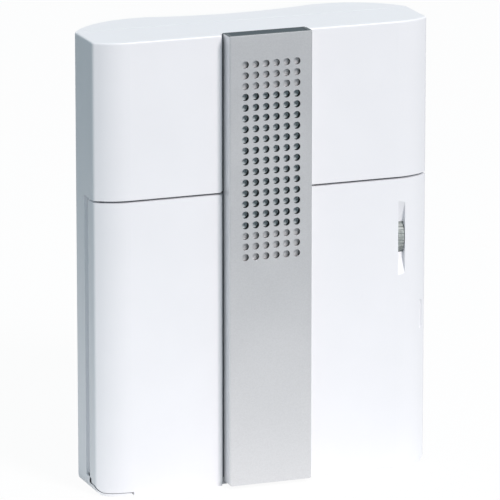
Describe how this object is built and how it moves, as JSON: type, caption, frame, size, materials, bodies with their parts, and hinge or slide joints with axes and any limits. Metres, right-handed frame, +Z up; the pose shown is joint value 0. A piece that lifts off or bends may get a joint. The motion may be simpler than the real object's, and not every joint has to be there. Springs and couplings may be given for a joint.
{
  "type": "doorbell chime box",
  "caption": "White wall-mounted doorbell chime box with a pull-off service cover, a proud perforated silver strip over its loudspeaker and a volume thumbwheel in a scooped slot.",
  "frame": {"origin": "centre of the cable collar's rear face, on the wall plane and at the middle of the case", "axes": "+Z up, -Y out of the wall to the front, +X to the right as seen from the front"},
  "size_m": [0.14, 0.0485, 0.1835],
  "materials": {
    "case_white": "satin white moulded plastic",
    "strip_silver": "silver painted plastic",
    "rail_dark": "dark moulded plastic",
    "cloth_grey": "fine woven speaker cloth",
    "wheel_grey": "ribbed grey plastic",
    "plated_steel": "zinc plated",
    "basket_steel": "pressed and plated",
    "ferrite": "sintered dark grey",
    "cone_paper": "pressed paper pulp",
    "surround_cloth": "soft half roll",
    "gasket_card": "pressed grey card",
    "coil_copper": "varnished winding",
    "board_green": "green lacquer",
    "chip_black": "moulded black",
    "terminal_grey": "blue-grey moulded plastic",
    "capacitor_sleeve": "shrunk sleeve with bare top",
    "resistor_tan": "lacquered with colour bands",
    "knob_white": "moulded plastic",
    "battery_plastic": "dark moulded plastic",
    "cell_can": "sleeved can with bare ends",
    "contact_nickel": "nickel plated",
    "wire_red": "red insulation",
    "wire_black": "black insulation"
  },
  "bodies": {
    "root": {"wall_tray": "case_white", "housing": "case_white", "speaker_basket": "basket_steel", "speaker_gasket": "gasket_card", "speaker_magnet": "ferrite", "speaker_top_plate": "plated_steel", "speaker_yoke": "plated_steel", "speaker_surround": "surround_cloth", "speaker_clips": "plated_steel", "speaker_screws": "plated_steel", "circuit_board": "board_green", "terminal_block": "terminal_grey", "terminal_screws": "plated_steel", "tone_chip": "chip_black", "amplifier_chip": "chip_black", "rectifier": "chip_black", "supply_capacitor": "capacitor_sleeve", "output_capacitor": "capacitor_sleeve", "resistors": "resistor_tan", "volume_pot": "chip_black", "tone_switch": "chip_black", "board_screws": "plated_steel", "battery_box": "battery_plastic", "battery_contacts": "contact_nickel", "battery_cell_1": "cell_can", "battery_cell_2": "cell_can", "battery_cell_3": "cell_can", "battery_cell_4": "cell_can", "housing_screw": "plated_steel", "speaker_lead_plus": "wire_red", "speaker_lead_minus": "wire_black", "battery_lead_plus": "wire_red", "battery_lead_minus": "wire_black"},
    "service_cover": {"lower_cover": "case_white", "grille_strip": "strip_silver", "strip_rail": "rail_dark", "speaker_cloth": "cloth_grey", "rail_screws": "plated_steel"},
    "thumbwheel": {"volume_wheel": "wheel_grey"},
    "diaphragm": {"speaker_cone": "cone_paper", "dust_cap": "cone_paper", "voice_coil": "coil_copper"},
    "tone_knob": {"tone_slider": "knob_white"}
  },
  "joints": [
    {"name": "cover_pull", "type": "slide", "parent": "root", "child": "service_cover", "axis": [0, -1, 0], "range_m": [0, 0.05]},
    {"name": "volume_turn", "type": "hinge", "parent": "root", "child": "thumbwheel", "pos_m": [0.058, -0.0333, 0.0033], "axis": [1, 0, 0], "range_deg": [-135, 135]},
    {"name": "cone_travel", "type": "slide", "parent": "root", "child": "diaphragm", "axis": [0, -1, 0], "range_m": [-0.0008, 0.0008], "stiffness_N_per_m": 1000},
    {"name": "tone_select", "type": "slide", "parent": "root", "child": "tone_knob", "axis": [1, 0, 0], "range_m": [0, 0.0025]}
  ]
}
